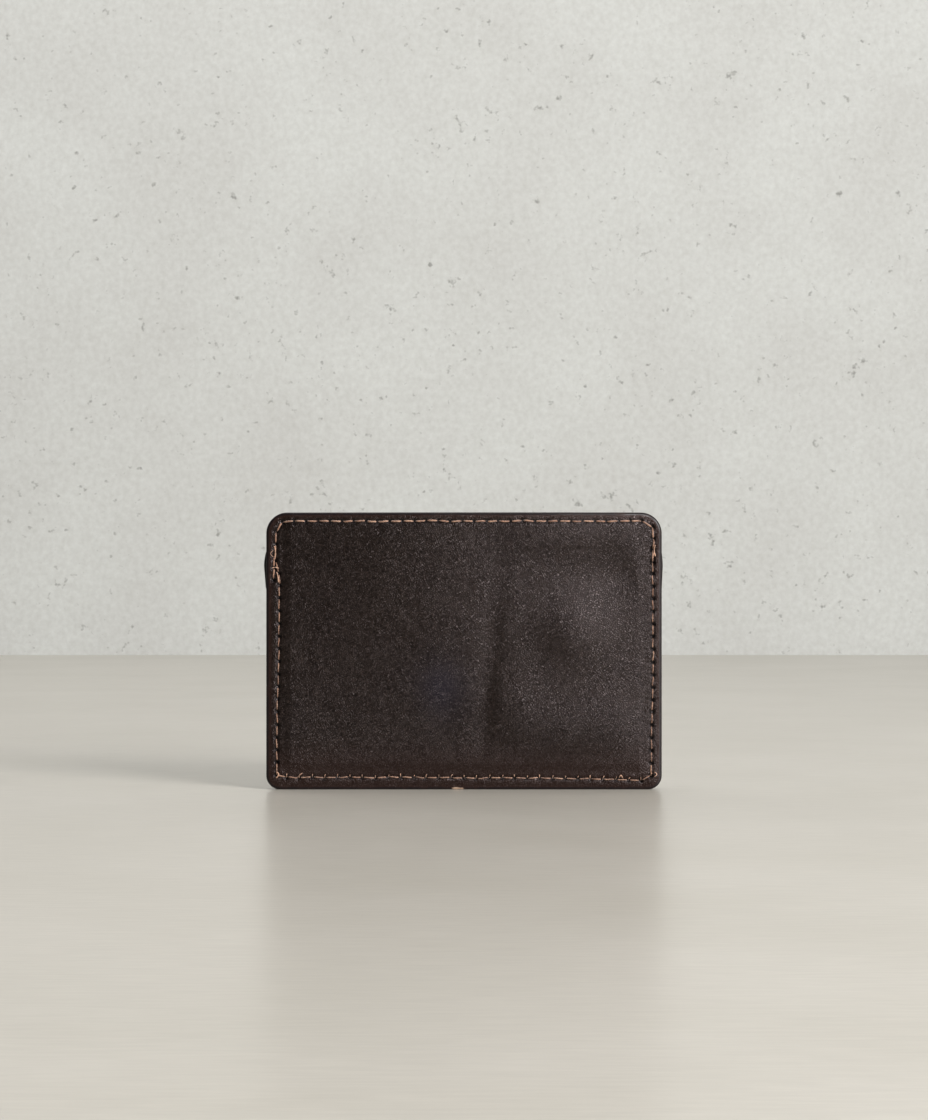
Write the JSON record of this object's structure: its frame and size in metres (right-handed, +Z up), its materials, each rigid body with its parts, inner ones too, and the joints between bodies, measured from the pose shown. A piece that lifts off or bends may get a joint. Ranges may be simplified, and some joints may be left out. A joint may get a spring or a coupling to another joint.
{
  "type": "minimalist wallet",
  "caption": "Slim leather card wallet with a centre pocket open at the top, stepped card slots on the back and contrast stitching near every edge.",
  "frame": {"origin": "centre of the bottom edge that the wallet stands on", "axes": "+X along the width, to the right as seen from the plain front; the plain front faces -Y and the card slots face +Y; +Z up to the pocket mouth"},
  "size_m": [0.1014, 0.0138, 0.07],
  "materials": {
    "front_leather": "full-grain cowhide, dark olive brown, waxed semi-matte",
    "back_leather": "full-grain cowhide, dark olive brown, waxed semi-matte",
    "pocket_leather": "skived full-grain cowhide, dark olive brown, waxed semi-matte",
    "edge_coat": "acrylic edge paint, purple brown, satin",
    "lining_cloth": "fine plain-woven polyester, dark brown",
    "slip_cloth": "smooth twill slip cloth, dark brown",
    "mouth_tape": "woven reinforcing tape, unbleached",
    "stiffener": "bonded leather board, tan",
    "seam_thread": "twisted polyester thread, copper tan, light wax",
    "hidden_thread": "twisted polyester thread, dark brown"
  },
  "bodies": {
    "root": {"front_panel": "front_leather", "front_stiffener": "stiffener", "front_mouth_tape": "mouth_tape", "front_lining": "lining_cloth", "front_mouth_edge_paint": "edge_coat", "back_lining": "lining_cloth", "back_mouth_tape": "mouth_tape", "back_panel": "back_leather", "back_mouth_edge_paint": "edge_coat", "upper_pocket_facing": "pocket_leather", "upper_pocket_body": "slip_cloth", "upper_pocket_edge_paint": "edge_coat", "lower_pocket_panel": "pocket_leather", "lower_pocket_lining": "slip_cloth", "lower_pocket_edge_paint": "edge_coat", "base_edge_paint": "edge_coat", "left_edge_paint": "edge_coat", "right_edge_paint": "edge_coat", "mouth_seam_needle_thread": "seam_thread", "mouth_seam_bobbin_thread": "seam_thread", "back_mouth_seam_needle_thread": "seam_thread", "back_mouth_seam_bobbin_thread": "seam_thread", "upper_slot_hem_needle_thread": "seam_thread", "upper_slot_hem_bobbin_thread": "seam_thread", "lower_slot_hem_needle_thread": "seam_thread", "lower_slot_hem_bobbin_thread": "seam_thread", "upper_pocket_base_thread": "hidden_thread", "side_seam_needle_thread": "seam_thread", "side_seam_bobbin_thread": "seam_thread"}
  },
  "joints": []
}
